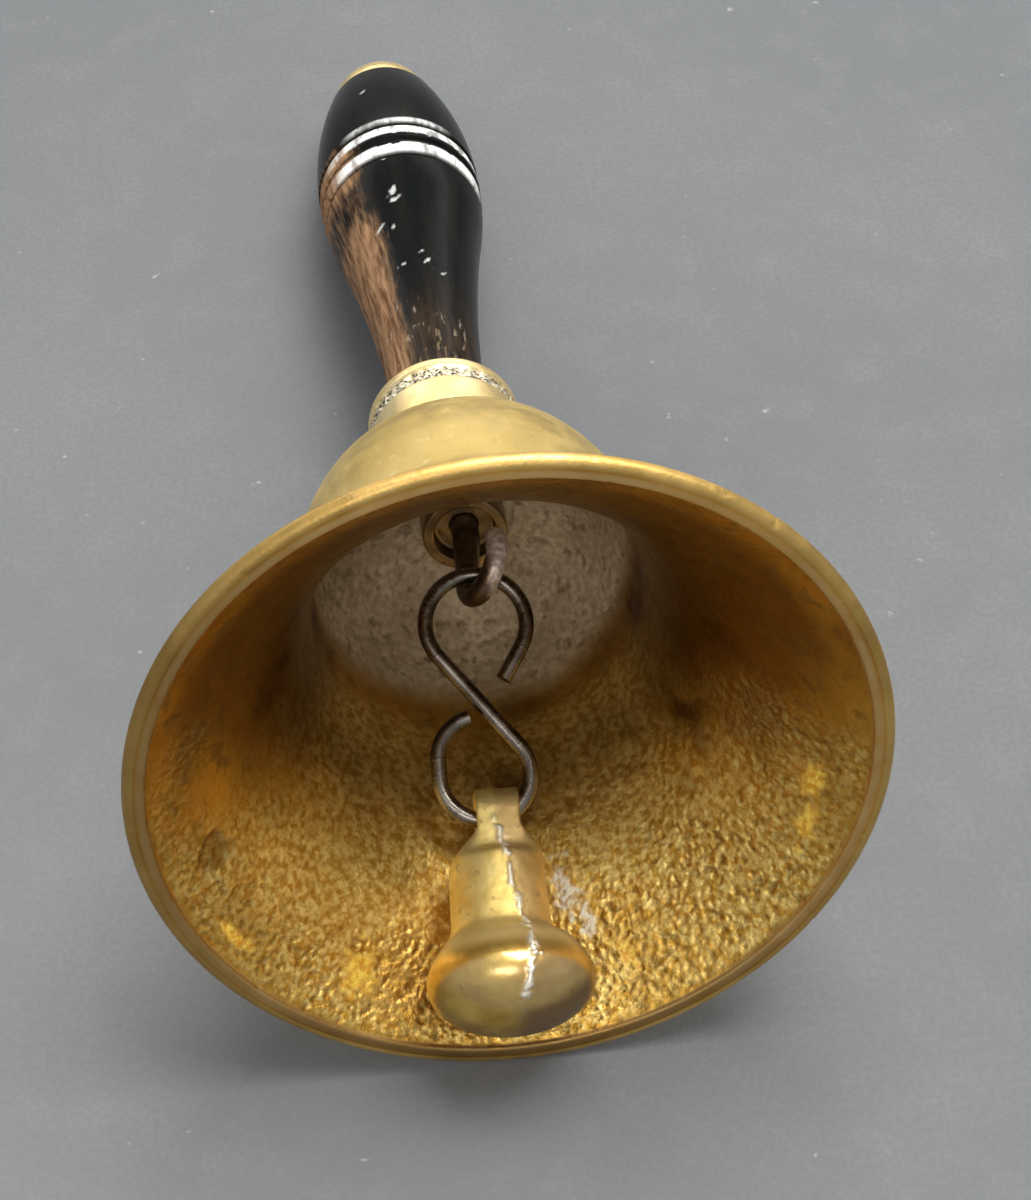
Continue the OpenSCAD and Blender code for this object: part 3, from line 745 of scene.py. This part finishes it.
def make_clapper():
    slope = Matrix.Rotation(CLAPPER_SLOPE - math.pi / 2, 4, "X")
    local = Matrix.Translation(pivots["clapper_swing"]) @ slope @ Matrix.Rotation(CHAIN_LEAN, 4, "Y")

    def relief(points, normals):
        aside = np.interp(points[:, 2], FLASH_ALONG, FLASH_ASIDE) + 0.45 * layered_noise(points, 2.0, 3)
        off = points[:, 0] - aside
        facing = step(0.1, 0.5, np.abs(normals[:, 1]))
        width = 0.46 + 0.34 * lattice_noise(points, 1.0, 5)
        line = np.exp(-(off / width) ** 2) * facing
        crumbs = step(-0.35, 0.25, layered_noise(points, 1.0, 7))
        flash = line * crumbs * step(-31, -27, points[:, 2]) * (1 - step(-2.5, 0, points[:, 2]))
        head = 1 - step(-20, -16.5, points[:, 2])
        # far: the +X side of the parting line, set back a little and also painted darker as shade.
        far = step(-0.2 - 2 * head, 0.5 + 2 * head, off) * (1 - 0.8 * head)
        moved = 0.42 * flash - 0.18 * far * np.exp(-np.maximum(off, 0) / 2.0) * facing
        cast = 0.10 * layered_noise(points, 2.6, 9) + 0.03 * layered_noise(points, 0.9, 19)
        moved += (1 - 0.75 * head) * cast
        fillet = 0.6 * np.exp(-((points[:, 2] + 18.1) / 1.4) ** 2)
        moved += fillet + 0.07 * head * layered_noise(points, 5, 29)
        # crease: where the pale, matte painted light covers the dark reflection in the stem-to-head crease.
        crease = 0.85 * np.exp(-((points[:, 2] + 19.3) / 1.7) ** 2)
        gloss = head * (1 - step(-8.5, -4.5, points[:, 1]))
        # Painted shade patch on the lower +X side of the head.
        painted_shade_patch = 0.75 * head * step(-1.8, 2.8, points[:, 0] + 0.8 * layered_noise(points, 3, 33))
        painted_shade_patch *= step(-8.2, -5.4, points[:, 1] - 0.12 * points[:, 0] + 0.5 * layered_noise(points, 3, 35))
        return moved, {"flash": np.clip(flash * 1.4, 0, 1), "far": far, "head": head, "crease": crease,
                       "gloss": gloss, "painted_shade_patch": painted_shade_patch}

    def soft(points):
        return 1 - step(-3.4, -2.2, points[:, 2])

    piece = reworked("clapper", "clapper_casting", voxel=0.24, rounds=6, local=local, relief=relief, soft=soft)
    return dress(piece, clapper_material(), "clapper", "clapper_brass", "clapper")


def make_rod():
    def relief(points, normals):
        near_eye = 1 - step(52, 56, points[:, 2])
        end = step(0.9, 2.6, points[:, 0] + 0.5 * lattice_noise(points, 1.5, 7)) * near_eye
        moved = near_eye * (0.12 * layered_noise(points, 2.2, 3))
        moved -= 0.22 * end * np.abs(lattice_noise(points, 1.1, 5))
        return moved, {"end": end}

    piece = reworked("clapper_rod", "rod_and_eye", voxel=0.3, rounds=3, local=LAY, relief=relief)
    s = Shader("dark_rod")
    end = s.attribute("end")
    cloud, fine, grit = s.noise(3), s.noise(0.9, 5), s.noise(0.3, 3)
    dark = s.mix(s.ramp(cloud, 0.3, 0.7), (0.075, 0.052, 0.034), (0.17, 0.11, 0.065))
    pale = s.mix(s.ramp(fine, 0.35, 0.65), (0.62, 0.46, 0.34), (0.98, 0.84, 0.72))
    color = s.mix(end, dark, pale)
    roughness = s.ramp(fine, 0.3, 0.7, 0.32, 0.5)
    material = s.finish(color, roughness, s.blend(end, 1.0, 0.5), s.bump(grit, 0.05, 0.5))
    return dress(piece, material, "bell", "rod_metal", "clapper_rod")


def cover(node, material):
    """Gives a CAD node that keeps its own mesh its finished material."""
    nodes[node].data.materials.clear()
    nodes[node].data.materials.append(material)


# ---------------------------------------------------------------- floor, lights and world
def make_floor():
    # Metres; the floor is painted a little paler towards the front left, a painted pool of light
    count, half = 61, 3.0
    line = np.linspace(-half, half, count)
    points = np.array([(x, y, 0) for y in line for x in line])
    faces = [(j * count + i, j * count + i + 1, (j + 1) * count + i + 1, (j + 1) * count + i)
             for j in range(count - 1) for i in range(count - 1)]
    pale = np.clip(-1.1 * points[:, 0] - 0.95 * points[:, 1], 0, 0.38)
    floor = new_mesh("floor", points, faces, {"pale": pale})
    floor.data.materials.append(floor_material())


def make_light(name, place, target, size, power, color=(1, 1, 1)):
    data = bpy.data.lights.new(name, "AREA")
    data.shape = "RECTANGLE"
    data.size, data.size_y = size
    data.energy = power
    data.color = color
    light = bpy.data.objects.new(name, data)
    bpy.context.collection.objects.link(light)
    light.location = place
    light.rotation_euler = (Vector(target) - Vector(place)).to_track_quat("-Z", "Y").to_euler()


def make_world():
    world = bpy.data.worlds.new("studio")
    bpy.context.scene.world = world
    world.use_nodes = True
    tree = world.node_tree
    sky = tree.nodes["Background"]
    place = tree.nodes.new("ShaderNodeTexCoord")
    split = tree.nodes.new("ShaderNodeSeparateXYZ")
    ramp = tree.nodes.new("ShaderNodeValToRGB")
    ramp.color_ramp.elements[0].position = 0.0
    ramp.color_ramp.elements[0].color = (0.92, 0.93, 0.94, 1)
    ramp.color_ramp.elements[1].position = 0.8
    ramp.color_ramp.elements[1].color = (0.93, 0.95, 0.98, 1)
    tree.links.new(place.outputs["Generated"], split.inputs[0])
    tree.links.new(split.outputs["Z"], ramp.inputs["Fac"])
    tree.links.new(ramp.outputs["Color"], sky.inputs["Color"])
    sky.inputs["Strength"].default_value = 0.5


def make_lights():
    middle = (0, -0.04, 0.04)
    make_light("overhead", (0.18, 0.10, 0.95), middle, (0.72, 0.52), 11.5, (1.0, 0.99, 0.97))
    make_light("window", (0.05, 1.25, 0.42), middle, (2.4, 0.26), 5.0, (1.0, 0.99, 0.97))
    make_light("front", (-0.3, -1.3, 1.25), middle, (1.0, 0.6), 6.0, (1.0, 0.99, 0.97))


make_camera()
bpy.context.scene.view_settings.view_transform = "Standard"
make_bell()
make_collar()
bright_brass = fitting_material()
make_ferrule(bright_brass)
make_finial(bright_brass)
make_handle()
make_clapper()
make_rod()
cover("s_hook", dark_metal_material("hook_steel", (0.14, 0.115, 0.095), (0.31, 0.27, 0.225), 0.27, LAY))
steel = dark_metal_material("plain_steel", (0.35, 0.34, 0.32), (0.55, 0.54, 0.52), 0.4, LAY)
cover("crown_washer", steel)
cover("crown_nut", steel)
make_floor()
make_lights()
make_world()

bpy.context.view_layer.update()
